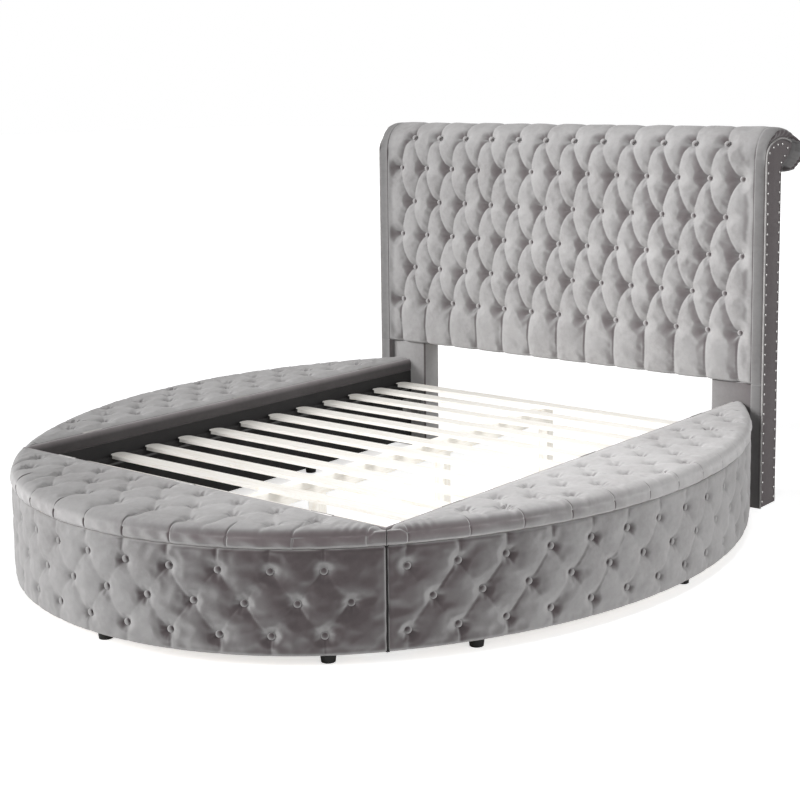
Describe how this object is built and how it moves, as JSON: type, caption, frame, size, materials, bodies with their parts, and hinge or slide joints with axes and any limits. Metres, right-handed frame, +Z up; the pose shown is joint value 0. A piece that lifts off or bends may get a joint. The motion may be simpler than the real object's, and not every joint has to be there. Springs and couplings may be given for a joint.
{
  "type": "upholstered storage bed",
  "caption": "Round upholstered bed: tufted storage benches with hinged lids round a slatted recess, and a tall buttoned headboard with a rolled top.",
  "frame": {"origin": "on the floor under the middle of the whole bed", "axes": "+X to the right of someone at the foot who faces the headboard, +Y from the foot to the headboard, +Z up"},
  "size_m": [2.3682, 2.732, 1.444],
  "materials": {
    "velvet": "warm grey cotton velvet with a soft sheen",
    "inner_velvet": "dark grey velvet on the recess rails",
    "piping": "pale woven cord",
    "tape": "black woven tape",
    "back_cloth": "black dust cloth",
    "pine": "pale planed pine",
    "plywood": "plain birch plywood",
    "black_board": "board covered in black cloth",
    "nickel": "bright nickel",
    "steel": "blackened steel",
    "black_plastic": "black moulded plastic"
  },
  "bodies": {
    "bed": {"back_cloth": "back_cloth", "bench_feet": "black_plastic", "centre_legs": "pine", "centre_rail": "pine", "cover_buttons": "velvet", "cross_rails": "pine", "foot_bench_cover": "velvet", "foot_bench_floor": "plywood", "foot_bench_rail": "black_board", "foot_bench_wall": "plywood", "frame_leaves": "steel", "headboard_board": "plywood", "headboard_buttons": "velvet", "headboard_pad": "velvet", "headboard_posts": "pine", "hinge_pins": "steel", "joining_hardware": "steel", "left_bench_cover": "velvet", "left_bench_floor": "plywood", "left_bench_rail": "black_board", "left_bench_wall": "plywood", "left_wing": "velvet", "leg_covers": "velvet", "nailheads": "nickel", "rail_caps": "inner_velvet", "right_bench_cover": "velvet", "right_bench_floor": "plywood", "right_bench_rail": "black_board", "right_bench_wall": "plywood", "right_wing": "velvet", "roll_former": "plywood", "roll_pad": "velvet", "side_piping": "piping", "slat_01": "pine", "slat_02": "pine", "slat_03": "pine", "slat_04": "pine", "slat_05": "pine", "slat_06": "pine", "slat_07": "pine", "slat_08": "pine", "slat_09": "pine", "slat_10": "pine", "slat_11": "pine", "slat_12": "pine", "slat_caps": "black_plastic", "slat_ledges": "black_board", "slat_tapes": "tape"},
    "left_lid": {"left_lid_board": "plywood", "left_lid_pad": "velvet", "left_lid_buttons": "velvet", "left_lid_leaves": "steel"},
    "right_lid": {"right_lid_board": "plywood", "right_lid_pad": "velvet", "right_lid_buttons": "velvet", "right_lid_leaves": "steel"},
    "foot_lid": {"foot_lid_board": "plywood", "foot_lid_pad": "velvet", "foot_lid_buttons": "velvet", "foot_lid_leaves": "steel"}
  },
  "joints": [
    {"name": "foot_lid_hinge", "type": "hinge", "parent": "bed", "child": "foot_lid", "pos_m": [0, -0.9745, 0.395], "axis": [-1, 0, 0], "range_deg": [0, 80]},
    {"name": "right_lid_hinge", "type": "hinge", "parent": "bed", "child": "right_lid", "pos_m": [0.8085, 0.0625, 0.395], "axis": [0, -1, 0], "range_deg": [0, 36]},
    {"name": "left_lid_hinge", "type": "hinge", "parent": "bed", "child": "left_lid", "pos_m": [-0.8085, 0.0625, 0.395], "axis": [0, 1, 0], "range_deg": [0, 36]}
  ]
}
